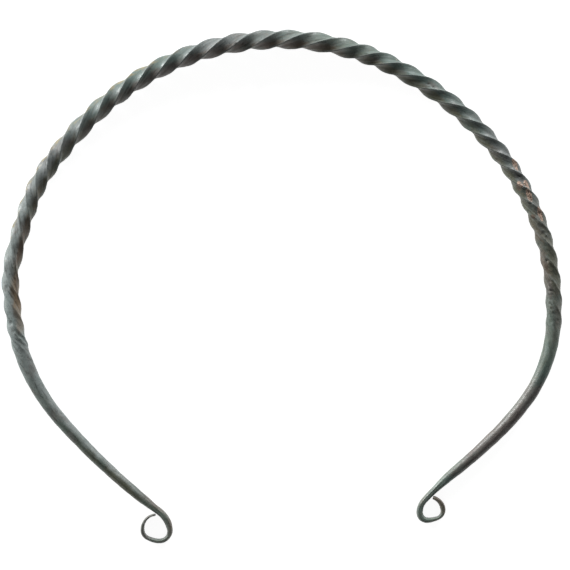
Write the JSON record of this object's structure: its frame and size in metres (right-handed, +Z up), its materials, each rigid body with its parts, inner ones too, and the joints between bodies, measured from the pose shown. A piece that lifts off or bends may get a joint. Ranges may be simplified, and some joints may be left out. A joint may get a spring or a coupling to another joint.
{
  "type": "bronze torc",
  "caption": "Open bronze neck ring with a twisted bow, plain tapering arms and ends rolled outwards into small eyes.",
  "frame": {"origin": "middle of the ring's outer box, on the surface that the ring lies on", "axes": "+X across the ring from the left arm to the right arm, +Y from the mouth towards the crown of the bow, +Z up from the surface the ring lies on"},
  "size_m": [0.1806, 0.1654, 0.0062],
  "materials": {
    "bronze": "old bronze under a satin green-grey patina, with brown and tan patches and a little bare metal"
  },
  "bodies": {
    "root": {"torc": "bronze"}
  },
  "joints": []
}
